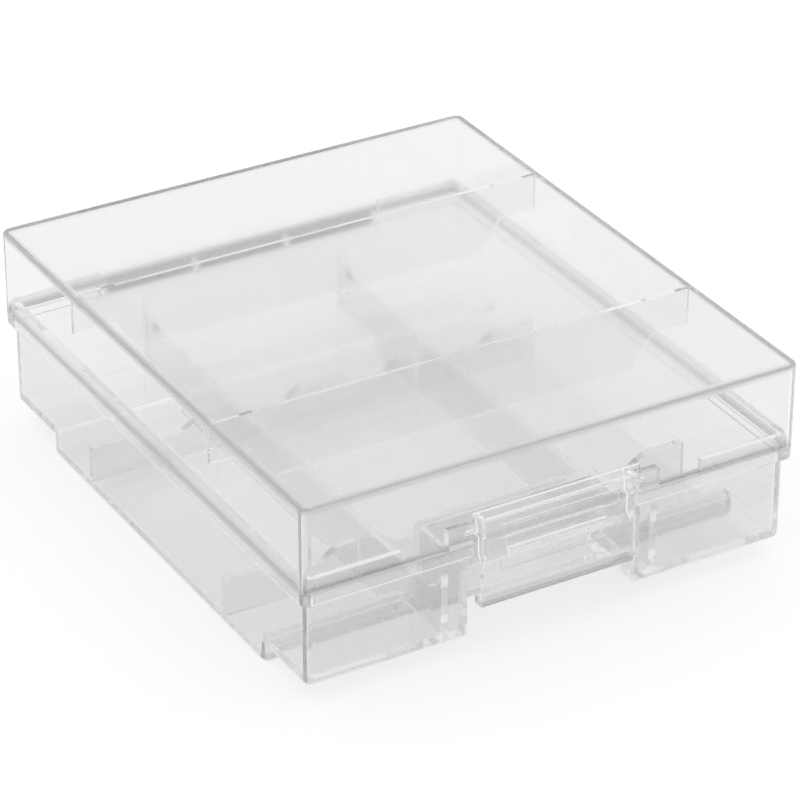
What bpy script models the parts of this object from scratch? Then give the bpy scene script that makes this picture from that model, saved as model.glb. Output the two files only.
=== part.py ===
"""Battery box: a frosted base with a stepped floor, a clear hinged lid and a clear latch.

World frame: metres, +Z up, the front with the latch faces -Y, and the origin lies under the middle of
the box on the surface that the deep part of the base stands on. The lid turns about a moulded rod at
the back of the rim, and the latch turns about its own pins in the front wall of the lid.
"""
import math

import bmesh
import bpy
from mathutils import Matrix, Vector

# The whole box
box_width = 0.2000
box_depth = 0.2330
box_height = 0.0800
corner_radius = 0.0035
clearance = 0.0003
overrun = 0.0010

# Lid shell
lid_height = 0.0333
lid_wall = 0.0020
lid_top = 0.0020
lid_edge_radius = 0.0012

# Base shell
rim_height = 0.0050
rim_overhang = 0.0024
rim_edge_radius = 0.0006
wall = 0.0027
floor_thickness = 0.0027
shelf_thickness = 0.0032
curb_rise = 0.0016
tub_corner = 0.0032
bottom_radius = 0.0020
inner_corner = 0.0011
inner_foot = 0.0006
step_height = 0.0077
belly_front_setback = 0.0303
belly_rear_setback = 0.0311
lip_height = 0.0046
lip_gap_half = 0.0610

# Finger recess under the latch
recess_half_width = 0.0344
recess_drop = 0.0110

# Dividers across the base
divider_front = 0.0526
divider_rear = 0.0518
divider_thickness = 0.0028
divider_rise = 0.0151
scoop_depth = 0.0045
scoop_flat_half = 0.0050
scoop_half = 0.0150
scoop_inner = 0.0216
scoop_outer = 0.0648
scoop_points = 6

# Long walls from front to back
column_offset = 0.0427
column_thickness = 0.0028
column_rise = 0.0234
gusset_length = 0.0100
gusset_rise = 0.0130
gusset_points = 6

# Hanging ribs of the lid
rib_front = 0.0488
rib_rear = 0.0572
rib_thickness = 0.0016
rib_drop = 0.0299
rib_side_drop = 0.0166
rib_side_width = 0.0170
rib_slant_width = 0.0095
rib_end_rise = 0.0001

# Hinge at the back
hinge_rod_radius = 0.00095
hinge_hook_wall = 0.0009
hinge_drop = 0.0034
hinge_gap = 0.0002
lug_half_thickness = 0.0012
lug_count = 4
hook_open_half_angle = math.radians(46)
tongue_inset = 0.0003

# Latch and its notch
notch_half_width = 0.0337
notch_rise = 0.0118
latch_half_width = 0.0309
latch_plate = 0.0018
latch_rise = 0.0099
latch_drop = 0.0259
latch_web = 0.0018
latch_web_reach = 0.0065
latch_edge = 0.0004
latch_nose_radius = 0.0010
latch_lip_height = 0.0030
latch_lip_reach = 0.0033
cheek_thickness = 0.0016
cheek_drop = 0.0086
pivot_rise = 0.0039
pivot_inset = 0.0024
pin_radius = 0.0011
pin_length = 0.0050
boss_width = 0.0090
boss_depth = 0.0032
boss_rise = 0.0070
window_half_width = 0.0238
window_rise = 0.0058
window_drop = 0.0125
window_depth = 0.0008
grip_half_height = 0.0037
grip_below_face = 0.0002
grip_edge = 0.0005
catch_half_width = 0.0200
catch_reach = 0.0022
catch_top_drop = 0.0011
catch_height = 0.0040
catch_slope = 0.0017
hook_reach = 0.0023
hook_height = 0.0023
hook_slope = 0.0014

# How finely round shapes are divided
corner_segments = 5
edge_segments = 3
small_segments = 2
round_segments = 24
arc_points = 5
sharp_angle = math.radians(35)
flat_angle = math.radians(0.1)

# Plastics
plastic_ior = 1.5
frosted_colour = (0.90, 0.91, 0.91)
frosted_roughness = 0.35
frosted_transmission = 0.75
clear_colour = (0.97, 0.98, 0.98)
clear_roughness = 0.04
clear_transmission = 0.95

# Heights and places that follow from the sizes above
half_width = box_width / 2
half_depth = box_depth / 2
part_z = box_height - lid_height
rim_top = part_z - clearance
rim_bottom = rim_top - rim_height
tub_x = half_width - rim_overhang
tub_y = half_depth - rim_overhang
inner_x = tub_x - wall
inner_y = tub_y - wall
shallow_floor = step_height + shelf_thickness
belly_front = belly_front_setback - tub_y
belly_rear = tub_y - belly_rear_setback
recess_top = part_z - recess_drop
divider_top = floor_thickness + divider_rise
column_top = floor_thickness + column_rise
lid_inner_x = half_width - lid_wall
lid_inner_y = half_depth - lid_wall
hinge_hook_bore = hinge_rod_radius + clearance
hinge_hook_radius = hinge_hook_bore + hinge_hook_wall
hinge_y = tub_y + hinge_hook_radius + hinge_gap
hinge_z = part_z - hinge_drop
pivot_y = pivot_inset - half_depth
pivot_z = part_z + pivot_rise
plate_back = -half_depth - clearance
plate_front = plate_back - latch_plate
latch_top = part_z + latch_rise
latch_bottom = part_z - latch_drop
web_rear = plate_front + latch_web_reach


def start_empty():
    """Removes every object and makes one collection for the pieces and one for the cutters."""
    for item in list(bpy.data.objects):
        bpy.data.objects.remove(item, do_unlink=True)
    pieces = bpy.data.collections.new("battery_box")
    cutters = bpy.data.collections.new("cutters")
    bpy.context.scene.collection.children.link(pieces)
    bpy.context.scene.collection.children.link(cutters)
    return pieces, cutters


def object_from(name, mesh_data, collection):
    """Links a mesh as a new object."""
    item = bpy.data.objects.new(name, mesh_data)
    collection.objects.link(item)
    return item


def tool_object(name, mesh_data):
    """A shape that only cuts or joins: the render leaves it out."""
    item = object_from(name, mesh_data, cutters)
    item.hide_render = True
    item.display_type = "WIRE"
    return item


def mesh_from(name, bm):
    """Turns a closed bmesh into mesh data whose faces point out."""
    bmesh.ops.recalc_face_normals(bm, faces=bm.faces)
    if bm.calc_volume(signed=True) < 0:
        bmesh.ops.reverse_faces(bm, faces=bm.faces)
    data = bpy.data.meshes.new(name)
    bm.to_mesh(data)
    bm.free()
    return data


def round_edges(bm, wanted, radius, segments):
    """Rounds the edges that the test accepts."""
    if radius <= 0:
        return
    chosen = [edge for edge in bm.edges if wanted(*(corner.co for corner in edge.verts))]
    bmesh.ops.bevel(bm, geom=chosen, offset=radius, offset_type="OFFSET", segments=segments,
                    profile=0.5, affect="EDGES", clamp_overlap=True)


def block_mesh(name, low, high, corner=0, bottom=0, top=0, segments=edge_segments):
    """A box between two corners, with its upright edges, its foot and its head rounded."""
    low, high = Vector(low), Vector(high)
    tiny = clearance / round_segments
    bm = bmesh.new()
    bmesh.ops.create_cube(bm, size=1)
    bmesh.ops.scale(bm, vec=high - low, verts=bm.verts)
    bmesh.ops.translate(bm, vec=(high + low) / 2, verts=bm.verts)
    round_edges(bm, lambda a, b: abs(a.z - b.z) > tiny, corner, corner_segments)
    round_edges(bm, lambda a, b: max(a.z, b.z) < low.z + tiny, bottom, segments)
    round_edges(bm, lambda a, b: min(a.z, b.z) > high.z - tiny, top, segments)
    return mesh_from(name, bm)


def block(name, low, high, **rounding):
    """A rounded box that cuts or joins."""
    return tool_object(name, block_mesh(name, low, high, **rounding))


def prism_mesh(name, outline, half_length, to_world):
    """A flat outline drawn as a filled curve, given a thickness, and turned into world space."""
    curve = bpy.data.curves.new(name, "CURVE")
    curve.dimensions = "2D"
    curve.fill_mode = "BOTH"
    curve.extrude = half_length
    spline = curve.splines.new("POLY")
    spline.points.add(len(outline) - 1)
    for point, (across, up) in zip(spline.points, outline):
        point.co = (across, up, 0, 1)
    spline.use_cyclic_u = True
    drawn = bpy.data.objects.new(name, curve)
    cutters.objects.link(drawn)
    graph = bpy.context.evaluated_depsgraph_get()
    data = bpy.data.meshes.new_from_object(drawn.evaluated_get(graph))
    bpy.data.objects.remove(drawn, do_unlink=True)
    bm = bmesh.new()
    bm.from_mesh(data)
    bpy.data.meshes.remove(data)
    bmesh.ops.remove_doubles(bm, verts=bm.verts, dist=clearance / round_segments)
    bmesh.ops.dissolve_limit(bm, angle_limit=flat_angle, verts=bm.verts, edges=bm.edges)
    for corner in bm.verts:
        corner.co = to_world(corner.co)
    return mesh_from(name, bm)


def prism_along_x(name, outline, low_x, high_x):
    """Extrudes an outline of (y, z) points from one x to another."""
    middle = (low_x + high_x) / 2
    half = (high_x - low_x) / 2
    return tool_object(name, prism_mesh(name, outline, half, lambda p: (p.z + middle, p.x, p.y)))


def prism_along_y(name, outline, middle_y, thickness):
    """Extrudes an outline of (x, z) points to a plate around one y."""
    half = thickness / 2
    return tool_object(name, prism_mesh(name, outline, half, lambda p: (p.x, middle_y + p.z, p.y)))


def rod_along_x(name, low_x, high_x, y, z, radius):
    """A round bar along X."""
    bm = bmesh.new()
    bmesh.ops.create_cone(bm, cap_ends=True, segments=round_segments, radius1=radius, radius2=radius,
                          depth=high_x - low_x)
    middle = (low_x + high_x) / 2
    for corner in bm.verts:
        corner.co = (corner.co.z + middle, corner.co.x + y, corner.co.y + z)
    return tool_object(name, mesh_from(name, bm))


def combine(target, tool, operation):
    """Adds a Boolean of one object on another."""
    modifier = target.modifiers.new(tool.name, "BOOLEAN")
    modifier.operation = operation
    modifier.solver = "EXACT"
    modifier.object = tool


def join(target, *tools):
    """Joins shapes to an object."""
    for tool in tools:
        combine(target, tool, "UNION")


def cut(target, *tools):
    """Cuts shapes out of an object."""
    for tool in tools:
        combine(target, tool, "DIFFERENCE")


def arc(centre_y, centre_z, radius, start, end, count):
    """Points along an arc, by angles from +Y towards +Z."""
    steps = [start + (end - start) * i / (count - 1) for i in range(count)]
    return [(centre_y + radius * math.cos(a), centre_z + radius * math.sin(a)) for a in steps]


def smooth_share(share):
    """A soft rise from 0 to 1."""
    return share * share * (3 - 2 * share)


def divider_outline():
    """The outline of one divider, with four finger scoops in its top, as (x, z) points."""
    points = [(-half_width, -overrun), (half_width, -overrun), (half_width, divider_top)]
    for centre in (scoop_outer, scoop_inner, -scoop_inner, -scoop_outer):
        flank = scoop_half - scoop_flat_half
        shares = [i / (scoop_points - 1) for i in range(scoop_points)]
        for share in shares:
            height = divider_top - scoop_depth * smooth_share(share)
            points.append((centre + scoop_half - flank * share, height))
        for share in reversed(shares):
            height = divider_top - scoop_depth * smooth_share(share)
            points.append((centre - scoop_half + flank * share, height))
    points.append((-half_width, divider_top))
    return points


def column_outline():
    """The outline of one long wall, which sweeps up to the tub at both ends, as (y, z) points."""
    turns = [math.pi / 2 * i / (gusset_points - 1) for i in range(gusset_points)]
    sweep = [(gusset_length * (1 - math.sin(a)), gusset_rise * (1 - math.cos(a))) for a in turns]
    points = [(-half_depth, -overrun), (half_depth, -overrun), (half_depth, column_top + gusset_rise)]
    points += [(inner_y - along, column_top + rise) for along, rise in reversed(sweep)]
    points += [(along - inner_y, column_top + rise) for along, rise in sweep]
    points.append((-half_depth, column_top + gusset_rise))
    return points


def cavity_tool():
    """The room inside the base, less the walls and dividers that stand in it."""
    room = block("cavity", (-inner_x, -inner_y, shallow_floor), (inner_x, inner_y, rim_top + overrun),
                 corner=inner_corner, bottom=inner_foot)
    keep = block("recess_wall", (-recess_half_width - wall, -half_depth, -overrun),
                 (recess_half_width + wall, belly_front + wall, recess_top + wall))
    belly = block("belly_room", (-inner_x, belly_front + wall, floor_thickness),
                  (inner_x, belly_rear - wall, shallow_floor + overrun + bottom_radius),
                  corner=inner_corner, bottom=inner_foot)
    curb = block("curb", (-half_width, belly_front, -overrun),
                 (half_width, belly_front + wall, shallow_floor + curb_rise))
    cut(room, keep, curb)
    join(room, belly)
    for name, y in (("front_divider", -divider_front), ("rear_divider", divider_rear)):
        cut(room, prism_along_y(name, divider_outline(), y, divider_thickness))
    for name, x in (("left_column", -column_offset), ("right_column", column_offset)):
        low_x = x - column_thickness / 2
        cut(room, prism_along_x(name, column_outline(), low_x, low_x + column_thickness))
    return room


def lip_tool():
    """The lip, where the tub's walls rise into the lid, left out along the middle of front and back."""
    low = rim_top - overrun
    high = part_z + lip_height
    ring = block("lip", (-tub_x, -tub_y, low), (tub_x, tub_y, high), corner=tub_corner)
    room = block("lip_room", (-inner_x, -inner_y, low - overrun), (inner_x, inner_y, high + overrun),
                 corner=inner_corner)
    gap = block("lip_gap", (-lip_gap_half, -half_depth, low - overrun),
                (lip_gap_half, half_depth, high + overrun))
    cut(ring, room, gap)
    return ring


def hinge_spans():
    """The places of the lugs along X, and the stretches of rod between them."""
    first = lug_half_thickness - lip_gap_half
    pitch = (-first - first) / (lug_count - 1)
    centres = [first + pitch * i for i in range(lug_count)]
    spans = [(a + lug_half_thickness, b - lug_half_thickness) for a, b in zip(centres, centres[1:])]
    return centres, spans


def make_base():
    """The frosted base, cut from a stepped block and fitted with its hinge rod and catch bar."""
    base = object_from("base", block_mesh("base", (-tub_x, -tub_y, step_height), (tub_x, tub_y, rim_top),
                                          corner=tub_corner, bottom=bottom_radius), pieces)
    belly = block("belly", (-tub_x, belly_front, 0), (tub_x, belly_rear, rim_bottom),
                  corner=tub_corner, bottom=bottom_radius)
    rim = block("rim", (-half_width, -half_depth, rim_bottom), (half_width, half_depth, rim_top),
                corner=corner_radius, bottom=rim_edge_radius, segments=small_segments)
    join(base, belly, rim)
    recess = block("recess", (-recess_half_width, -half_depth, -overrun),
                   (recess_half_width, belly_front, recess_top))
    cut(base, cavity_tool(), recess)
    notch = block("rim_notch", (-notch_half_width, -half_depth - overrun, rim_bottom - overrun),
                  (notch_half_width, -tub_y, rim_top + overrun))
    cut(base, notch)
    lugs, spans = hinge_spans()
    for i, (low, high) in enumerate(spans):
        cut(base, block(f"hinge_pocket_{i}", (low, tub_y, rim_bottom - overrun),
                        (high, half_depth + overrun, rim_top + overrun)))
    join(base, lip_tool())
    for i, x in enumerate(lugs):
        join(base, rod_along_x(f"lug_{i}", x - lug_half_thickness, x + lug_half_thickness,
                               hinge_y, hinge_z, hinge_hook_radius))
    join(base, rod_along_x("hinge_rod", -lip_gap_half + lug_half_thickness, lip_gap_half - lug_half_thickness,
                           hinge_y, hinge_z, hinge_rod_radius))
    top = rim_top - catch_top_drop
    tip = -tub_y - catch_reach
    low = top - catch_height
    bar = [(-tub_y + wall / 2, top), (tip + catch_slope, top), (tip, top - catch_slope), (tip, low),
           (-tub_y + wall / 2, low)]
    join(base, prism_along_x("catch_bar", bar, -catch_half_width, catch_half_width))
    return base


def rib_outline():
    """The outline of one hanging rib, deep in the middle and shallow at its ends, as (x, z) points."""
    foot = box_height - rib_drop
    side = box_height - rib_side_drop
    deep = half_width - rib_side_width - rib_slant_width
    shallow = half_width - rib_side_width
    end = half_width - lid_wall / 2
    head = box_height - lid_top / 2
    right = [(deep, foot), (shallow, side), (end, side + rib_end_rise), (end, head)]
    return right + [(-x, z) for x, z in reversed(right)]


def hook_outline():
    """The open ring of a hinge hook, whose mouth faces the base, as (y, z) points."""
    end = math.pi - hook_open_half_angle
    outer = arc(hinge_y, hinge_z, hinge_hook_radius, -end, end, round_segments)
    inner = arc(hinge_y, hinge_z, hinge_hook_bore, end, -end, round_segments)
    return outer + inner


def make_lid():
    """The clear lid: a shell with two hanging ribs, the latch's notch and bearings, and the hinge hooks."""
    lid = object_from("lid", block_mesh("lid", (-half_width, -half_depth, part_z),
                                        (half_width, half_depth, box_height), corner=corner_radius,
                                        top=lid_edge_radius), pieces)
    cut(lid, block("lid_room", (-lid_inner_x, -lid_inner_y, part_z - overrun),
                   (lid_inner_x, lid_inner_y, box_height - lid_top), corner=corner_radius - lid_wall))
    for name, y in (("front_rib", -rib_front), ("rear_rib", rib_rear)):
        join(lid, prism_along_y(name, rib_outline(), y, rib_thickness))
    boss_rear = -lid_inner_y + boss_depth
    for name, side in (("left_boss", -1), ("right_boss", 1)):
        ends = sorted((side * (notch_half_width - overrun), side * (notch_half_width + boss_width)))
        join(lid, block(name, (ends[0], -half_depth + lid_wall / 2, part_z),
                        (ends[1], boss_rear, part_z + boss_rise)))
    notch = block_mesh("notch", (-notch_half_width, -half_depth - overrun, part_z - overrun),
                       (notch_half_width, boss_rear + overrun, part_z + notch_rise))
    cut(lid, tool_object("notch", notch))
    for name, side in (("left_bore", -1), ("right_bore", 1)):
        ends = sorted((side * (notch_half_width - overrun),
                       side * (latch_half_width + pin_length + clearance)))
        cut(lid, rod_along_x(name, ends[0], ends[1], pivot_y, pivot_z, pin_radius + clearance))
    for i, (low, high) in enumerate(hinge_spans()[1]):
        low += clearance
        high -= clearance
        foot = hinge_z + hinge_hook_bore + tongue_inset
        join(lid, block(f"tongue_{i}", (low, lid_inner_y + tongue_inset, foot),
                        (high, half_depth - tongue_inset, part_z + overrun)))
        join(lid, prism_along_x(f"hook_{i}", hook_outline(), low, high))
    return lid


def latch_outline():
    """The latch in section: plate, web on top and turned-in lip below, as (y, z) points."""
    nose = latch_nose_radius
    edge = latch_edge
    lip_rear = plate_back + latch_lip_reach
    lip_top = latch_bottom + latch_lip_height
    quarter = math.pi / 2
    points = arc(plate_front + nose, latch_top - nose, nose, 2 * quarter, quarter, arc_points)
    points += arc(web_rear - edge, latch_top - edge, edge, quarter, 0, arc_points)
    points += [(web_rear, latch_top - latch_web), (plate_back, latch_top - latch_web)]
    points += [(plate_back, lip_top)]
    points += arc(lip_rear - edge, lip_top - edge, edge, quarter, 0, arc_points)
    points += arc(lip_rear - edge, latch_bottom + edge, edge, 0, -quarter, arc_points)
    points += arc(plate_front + nose, latch_bottom + nose, nose, -quarter, -2 * quarter, arc_points)
    return points


def cheek_outline():
    """One side cheek of the latch: an ear round the pivot and a slimmer part beside the rim."""
    front = plate_front + latch_plate / 2
    neck = -tub_y - clearance
    ear_foot = part_z + clearance + clearance
    foot = part_z - cheek_drop
    return [(front, latch_top - latch_web / 2), (web_rear - latch_edge, latch_top - latch_web / 2),
            (web_rear - latch_edge, ear_foot), (neck, ear_foot), (neck, foot + (neck - plate_back)),
            (plate_back, foot), (front, foot)]


def make_latch():
    """The clear latch: a plate with a grip, two cheeks with their pins, and the hook behind."""
    latch = object_from("latch", prism_mesh("latch", latch_outline(), latch_half_width,
                                            lambda p: (p.z, p.x, p.y)), pieces)
    window_low = part_z - window_drop
    window_high = part_z + window_rise
    floor_y = plate_front + window_depth
    cut(latch, block("window", (-window_half_width, plate_front - overrun, window_low),
                     (window_half_width, floor_y, window_high)))
    grip_z = (window_low + window_high) / 2
    grip_front = plate_front + grip_below_face
    quarter = math.pi / 2
    grip = arc(grip_front + grip_edge, grip_z - grip_half_height + grip_edge, grip_edge, 3 * quarter,
               2 * quarter, arc_points)
    grip += arc(grip_front + grip_edge, grip_z + grip_half_height - grip_edge, grip_edge, 2 * quarter,
                quarter, arc_points)
    grip += [(floor_y + grip_below_face, grip_z + grip_half_height),
             (floor_y + grip_below_face, grip_z - grip_half_height)]
    join(latch, prism_along_x("grip", grip, -window_half_width - window_depth,
                              window_half_width + window_depth))
    for name, side in (("left_cheek", -1), ("right_cheek", 1)):
        ends = sorted((side * (latch_half_width - cheek_thickness), side * (latch_half_width - latch_edge)))
        join(latch, prism_along_x(name, cheek_outline(), ends[0], ends[1]))
        ends = sorted((side * (latch_half_width - cheek_thickness / 2),
                       side * (latch_half_width + pin_length)))
        join(latch, rod_along_x(f"{name}_pin", ends[0], ends[1], pivot_y, pivot_z, pin_radius))
    top = rim_top - catch_top_drop - catch_height - clearance
    back = plate_back - latch_plate / 2
    tip = plate_back + hook_reach
    hook = [(back, top), (tip, top), (tip, top - hook_height + hook_slope), (plate_back, top - hook_height),
            (back, top - hook_height)]
    join(latch, prism_along_x("hook", hook, -catch_half_width + clearance, catch_half_width - clearance))
    return latch


def plastic(name, colour, roughness, transmission):
    """A see-through plastic."""
    material = bpy.data.materials.new(name)
    material.use_nodes = True
    shader = material.node_tree.nodes["Principled BSDF"]
    shader.inputs["Base Color"].default_value = (*colour, 1)
    shader.inputs["Roughness"].default_value = roughness
    shader.inputs["Metallic"].default_value = 0
    shader.inputs["IOR"].default_value = plastic_ior
    shader.inputs["Transmission Weight"].default_value = transmission
    return material


def settle(item, material, axis=None, carrier=None):
    """Applies the Booleans, shades the piece, and hangs a moving piece on its joint's axis."""
    graph = bpy.context.evaluated_depsgraph_get()
    made = bpy.data.meshes.new_from_object(item.evaluated_get(graph))
    item.modifiers.clear()
    item.data = made
    made.materials.clear()
    made.materials.append(material)
    made.shade_smooth()
    made.set_sharp_from_angle(angle=sharp_angle)
    if axis is None:
        return None
    pivot = bpy.data.objects.new(f"{item.name}_axis", None)
    pivot.empty_display_size = corner_radius
    pieces.objects.link(pivot)
    if carrier is not None:
        pivot.parent = carrier
        pivot.location = Vector(axis) - carrier.location
    else:
        pivot.location = axis
    made.transform(Matrix.Translation(-Vector(axis)))
    item.parent = pivot
    return pivot


pieces, cutters = start_empty()
base = make_base()
lid = make_lid()
latch = make_latch()
bpy.context.view_layer.update()
settle(base, plastic("frosted", frosted_colour, frosted_roughness, frosted_transmission))
clear = plastic("clear", clear_colour, clear_roughness, clear_transmission)
lid_axis = settle(lid, clear, (0, hinge_y, hinge_z))
settle(latch, clear.copy(), (0, pivot_y, pivot_z), lid_axis)
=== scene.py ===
"""Looks of the battery box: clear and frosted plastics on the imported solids, a white floor, soft light
and the photograph's camera.
"""
import math

import bpy
from mathutils import Matrix, Vector

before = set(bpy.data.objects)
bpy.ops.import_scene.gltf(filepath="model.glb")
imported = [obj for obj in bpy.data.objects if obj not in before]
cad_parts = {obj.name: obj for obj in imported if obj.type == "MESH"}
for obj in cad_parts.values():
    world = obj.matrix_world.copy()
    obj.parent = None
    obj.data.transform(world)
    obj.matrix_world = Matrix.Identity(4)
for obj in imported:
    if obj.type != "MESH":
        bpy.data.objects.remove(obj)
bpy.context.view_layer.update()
scene = bpy.context.scene

# The camera, solved from the box's own edges in the photograph
camera_place = Vector((-0.628887, -1.085259, 0.756684))
camera_right = Vector((0.86414697, -0.50323293, 0.00257604))
camera_down = Vector((-0.24883616, -0.43173731, -0.8669968))
camera_forward = Vector((0.43741352, 0.74857164, -0.49830704))
camera_sensor = 36.0
camera_lens = 176.904
camera_reach = 16.0

# How often light may bounce
light_paths = 256
glossy_paths = 128

# The world's light on what isn't see-through
white = (1, 1, 1, 1)
world_high = 1.03
world_low = 0.92
world_overhead = 0.6
overhead_from = 0.62
overhead_full = 0.85
bright_from = Vector((0.55, 0.62, 0.56))

# The floor
floor_size = 8.0
floor_drop = 0.0001
floor_white = 0.20
floor_glow_front = 0.49
floor_glow_rear = 0.60
floor_glow_seen = 0.78
floor_fade = 0.16
floor_bright_to = Vector((0.67, 0.74, 0))

# The plastics' depth and tint
clear_ior = 1.55
clear_density = 0.2
clear_shade = 0.94
frosted_ior = 1.5
frosted_density = 1
frosted_shade = 0.90
depth_colour = (0.52, 0.53, 0.53, 1)

# Noise in the plastics
noise_roughness = 0.6
noise_low = 0.3
noise_high = 0.7
fine_detail = 4
grain_detail = 3
even = (1, 1, 1)
wear_scale = 60
wear_rough = 0.012
wave_scale = 140
wave_stretch = (0.4, 1, 1)
wave_rough = 0.06
grain_scale = 900
grain_rough_low = 0.03
grain_rough_high = 0.08
cloud_scale = 35
cloud_dark = 0.02

# Finer finishes and painted shade, at places on the part in metres
band_soft = 0.0002
frost_low = 0.0777
frost_high = 0.0783
frost_rough = 0.085
# Painted shade along the lid's lower edge, where it meets the base
foot_shade_low = 0.0470
foot_shade_high = 0.0500
foot_painted_shade = 0.34
# Deeper painted shade on the lid's foot at the rear, by the hinge
hinge_shade_from = 0.1125
hinge_painted_shade = 0.26
edge_side = 0.0972
edge_end = 0.1137
edge_under = 0.0772
edge_soft = 0.0003
edge_rough = 0.28
# Painted shade on the latch's turned-in foot
latch_foot_shade_low = 0.0228
latch_foot_shade_high = 0.0245
latch_foot_painted_shade = 0.55
# Painted shade in a thin line on the base's rim, in the gap under the lid
rim_gap_shade_low = 0.0460
rim_gap_shade_high = 0.0466
rim_gap_painted_shade = 0.30

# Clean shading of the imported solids, with their flat faces flat and their corners crisp
weld_distance = 0.00001
flat_limit = math.radians(1.5)
edge_limit = math.radians(28)
normal_weight = 90


def node_tree(material):
    """Gives a material nodes and returns its tree and its Principled shader."""
    material.use_nodes = True
    return material.node_tree, material.node_tree.nodes["Principled BSDF"]


def noise(tree, scale, detail=fine_detail, stretch=even):
    """Soft noise in the part's own metres."""
    place = tree.nodes.new("ShaderNodeTexCoord")
    mapping = tree.nodes.new("ShaderNodeMapping")
    mapping.inputs["Scale"].default_value = stretch
    texture = tree.nodes.new("ShaderNodeTexNoise")
    texture.inputs["Scale"].default_value = scale
    texture.inputs["Detail"].default_value = detail
    texture.inputs["Roughness"].default_value = noise_roughness
    tree.links.new(place.outputs["Object"], mapping.inputs["Vector"])
    tree.links.new(mapping.outputs["Vector"], texture.inputs["Vector"])
    return texture.outputs["Fac"]


def ramp(tree, value, low, high, from_low=noise_low, from_high=noise_high):
    """Maps a value between two limits."""
    spread = tree.nodes.new("ShaderNodeMapRange")
    spread.inputs["From Min"].default_value = from_low
    spread.inputs["From Max"].default_value = from_high
    spread.inputs["To Min"].default_value = low
    spread.inputs["To Max"].default_value = high
    tree.links.new(value, spread.inputs["Value"])
    return spread.outputs["Result"]


def combine(tree, operation, first, second):
    """One sum on two values; each is a socket or a number."""
    node = tree.nodes.new("ShaderNodeMath")
    node.operation = operation
    for socket, value in zip(node.inputs, (first, second)):
        if isinstance(value, (int, float)):
            socket.default_value = value
        else:
            tree.links.new(value, socket)
    return node.outputs["Value"]


def along(tree, place, direction):
    """How far a place lies in one direction."""
    product = tree.nodes.new("ShaderNodeVectorMath")
    product.operation = "DOT_PRODUCT"
    product.inputs[1].default_value = direction
    tree.links.new(place, product.inputs[0])
    return product.outputs["Value"]


def part_place(tree):
    """Where a point lies on the part, as the sockets X, Y and Z in metres."""
    place = tree.nodes.new("ShaderNodeTexCoord")
    split = tree.nodes.new("ShaderNodeSeparateXYZ")
    tree.links.new(place.outputs["Object"], split.inputs["Vector"])
    return split.outputs


def band(tree, value, low, high):
    """1 between two limits and 0 outside them, with soft ends."""
    above = ramp(tree, value, 0, 1, low - band_soft, low)
    below = ramp(tree, value, 1, 0, high, high + band_soft)
    return combine(tree, "MULTIPLY", above, below)


def past(tree, value, limit):
    """1 past a limit on either side of the middle and 0 within it, with a soft step."""
    distance = combine(tree, "ABSOLUTE", value, 0)
    return ramp(tree, distance, 0, 1, limit - edge_soft, limit)


def backdrop_rays(tree):
    """1 for the rays that show the white background: from the camera, and through or off the plastic."""
    rays = tree.nodes.new("ShaderNodeLightPath")
    plastic = combine(tree, "MAXIMUM", rays.outputs["Is Glossy Ray"], rays.outputs["Is Transmission Ray"])
    return combine(tree, "MAXIMUM", rays.outputs["Is Camera Ray"], plastic)


def tint(tree, shader, shade):
    """A neutral base colour from a grey value."""
    grey = tree.nodes.new("ShaderNodeCombineColor")
    for channel in ("Red", "Green", "Blue"):
        tree.links.new(shade, grey.inputs[channel])
    tree.links.new(grey.outputs["Color"], shader.inputs["Base Color"])


def see_through(name, ior, density):
    """A plastic that light passes, with a grey tint that grows with the thickness the light crosses."""
    material = bpy.data.materials.new(name)
    tree, shader = node_tree(material)
    shader.inputs["IOR"].default_value = ior
    shader.inputs["Transmission Weight"].default_value = 1
    depth = tree.nodes.new("ShaderNodeVolumeAbsorption")
    depth.inputs["Color"].default_value = depth_colour
    depth.inputs["Density"].default_value = density
    tree.links.new(depth.outputs["Volume"], tree.nodes["Material Output"].inputs["Volume"])
    return material, tree, shader


def clear_plastic(name):
    """The lid: faint wear, a frosted underside, satin edges round the top, and painted shade along its foot,
    deeper at the hinge.
    """
    material, tree, shader = see_through(name, clear_ior, clear_density)
    place = part_place(tree)
    frost = combine(tree, "MULTIPLY", band(tree, place["Z"], frost_low, frost_high), frost_rough)
    wear = ramp(tree, noise(tree, wear_scale), 0, wear_rough)
    outer = combine(tree, "MAXIMUM", past(tree, place["X"], edge_side), past(tree, place["Y"], edge_end))
    high = ramp(tree, place["Z"], 0, 1, edge_under - edge_soft, edge_under)
    border = combine(tree, "MULTIPLY", outer, high)
    frost = combine(tree, "MAXIMUM", frost, combine(tree, "MULTIPLY", border, edge_rough))
    tree.links.new(combine(tree, "ADD", frost, wear), shader.inputs["Roughness"])
    # Painted shade: darker towards the lid's lower edge, and darker still at the rear by the hinge
    foot = ramp(tree, place["Z"], 1, 0, foot_shade_low, foot_shade_high)
    rear = ramp(tree, place["Y"], 0, 1, hinge_shade_from, hinge_shade_from + band_soft)
    hinge = combine(tree, "MULTIPLY", rear, foot)
    shade = combine(tree, "SUBTRACT", clear_shade, combine(tree, "MULTIPLY", foot, foot_painted_shade))
    tint(tree, shader, combine(tree, "SUBTRACT", shade, combine(tree, "MULTIPLY", hinge, hinge_painted_shade)))
    return material


def latch_plastic(name):
    """The latch: polished, with faint flow waves, and painted shade on its turned-in foot."""
    material, tree, shader = see_through(name, clear_ior, clear_density)
    waves = noise(tree, wave_scale, stretch=wave_stretch)
    tree.links.new(ramp(tree, waves, 0, wave_rough), shader.inputs["Roughness"])
    height = part_place(tree)["Z"]
    # Painted shade on the turned-in foot
    tint(tree, shader, ramp(tree, height, latch_foot_painted_shade, 1, latch_foot_shade_low, latch_foot_shade_high))
    return material


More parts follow.
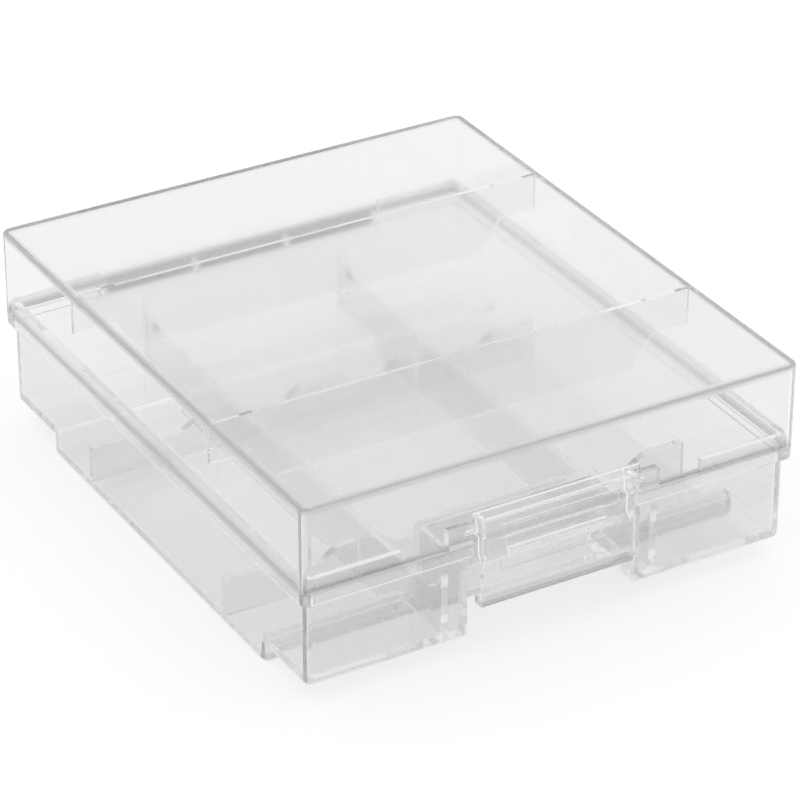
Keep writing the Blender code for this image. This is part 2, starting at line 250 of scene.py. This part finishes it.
def frosted_plastic(name):
    """The base: a fine grain that blurs what is behind it, faint clouds, and a painted shade line at the
    rim.
    """
    material, tree, shader = see_through(name, frosted_ior, frosted_density)
    grain = noise(tree, grain_scale, detail=grain_detail)
    tree.links.new(ramp(tree, grain, grain_rough_low, grain_rough_high), shader.inputs["Roughness"])
    height = part_place(tree)["Z"]
    # Painted shade in a thin line at the rim, in the gap under the lid
    rim_gap_shade = combine(tree, "MULTIPLY", band(tree, height, rim_gap_shade_low, rim_gap_shade_high), rim_gap_painted_shade)
    shade = combine(tree, "SUBTRACT", frosted_shade, rim_gap_shade)
    cloud = ramp(tree, noise(tree, cloud_scale), 0, cloud_dark)
    tint(tree, shader, combine(tree, "SUBTRACT", shade, cloud))
    return material


def finish_node(node, material):
    """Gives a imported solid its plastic, and shades it with smooth curves, flat faces and crisp corners."""
    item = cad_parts[node]
    item.data.materials.clear()
    item.data.materials.append(material)
    weld = item.modifiers.new("weld", "WELD")
    weld.merge_threshold = weld_distance
    flat = item.modifiers.new("flat", "DECIMATE")
    flat.decimate_type = "DISSOLVE"
    flat.angle_limit = flat_limit
    creases = item.modifiers.new("creases", "EDGE_SPLIT")
    creases.split_angle = edge_limit
    normals = item.modifiers.new("normals", "WEIGHTED_NORMAL")
    normals.weight = normal_weight
    item.data.shade_smooth()


def make_camera():
    """The camera at the photograph's place, angle and zoom."""
    data = bpy.data.cameras.new("camera")
    data.sensor_width = camera_sensor
    data.lens = camera_lens
    data.clip_end = camera_reach
    camera = bpy.data.objects.new("camera", data)
    turn = Matrix((camera_right, -camera_down, -camera_forward)).transposed()
    camera.matrix_world = Matrix.Translation(camera_place) @ turn.to_4x4()
    scene.collection.objects.link(camera)
    scene.camera = camera


def make_world():
    """Plain white to the camera and the plastic; soft light from overhead and the right rear elsewhere."""
    world = bpy.data.worlds.new("world")
    world.use_nodes = True
    scene.world = world
    tree = world.node_tree
    light = tree.nodes["Background"]
    light.inputs["Color"].default_value = white
    place = tree.nodes.new("ShaderNodeTexCoord")
    facing = along(tree, place.outputs["Generated"], bright_from.normalized())
    sides = ramp(tree, facing, world_low, world_high, -1, 1)
    height = tree.nodes.new("ShaderNodeSeparateXYZ")
    tree.links.new(place.outputs["Generated"], height.inputs["Vector"])
    overhead = ramp(tree, height.outputs["Z"], 0, world_overhead, overhead_from, overhead_full)
    tree.links.new(combine(tree, "ADD", sides, overhead), light.inputs["Strength"])
    plain = tree.nodes.new("ShaderNodeBackground")
    plain.inputs["Color"].default_value = white
    choose = tree.nodes.new("ShaderNodeMixShader")
    tree.links.new(backdrop_rays(tree), choose.inputs["Fac"])
    tree.links.new(light.outputs["Background"], choose.inputs[1])
    tree.links.new(plain.outputs["Background"], choose.inputs[2])
    tree.links.new(choose.outputs["Shader"], tree.nodes["World Output"].inputs["Surface"])


def make_floor():
    """A pale floor that takes the box's shadow: white to the camera and the plastic, greyer elsewhere."""
    bpy.ops.mesh.primitive_plane_add(size=floor_size, location=(0, 0, -floor_drop))
    floor = bpy.context.object
    floor.name = "floor"
    material = bpy.data.materials.new("floor")
    tree, shader = node_tree(material)
    shader.inputs["Base Color"].default_value = (floor_white, floor_white, floor_white, 1)
    shader.inputs["Roughness"].default_value = 1
    shader.inputs["Specular IOR Level"].default_value = 0
    shader.inputs["Emission Color"].default_value = white
    place = tree.nodes.new("ShaderNodeTexCoord")
    rearward = along(tree, place.outputs["Object"], floor_bright_to)
    fade = ramp(tree, rearward, floor_glow_front, floor_glow_rear, -floor_fade, floor_fade)
    glow = tree.nodes.new("ShaderNodeMix")
    glow.inputs["B"].default_value = floor_glow_seen
    tree.links.new(backdrop_rays(tree), glow.inputs["Factor"])
    tree.links.new(fade, glow.inputs["A"])
    tree.links.new(glow.outputs["Result"], shader.inputs["Emission Strength"])
    floor.data.materials.append(material)


make_camera()
make_world()
make_floor()
finish_node("base", frosted_plastic("frosted_plastic"))
finish_node("lid", clear_plastic("clear_plastic"))
finish_node("latch", latch_plastic("latch_plastic"))

scene.view_settings.view_transform = "Standard"
scene.cycles.max_bounces = light_paths
scene.cycles.transmission_bounces = light_paths
scene.cycles.glossy_bounces = glossy_paths
scene.cycles.transparent_max_bounces = light_paths
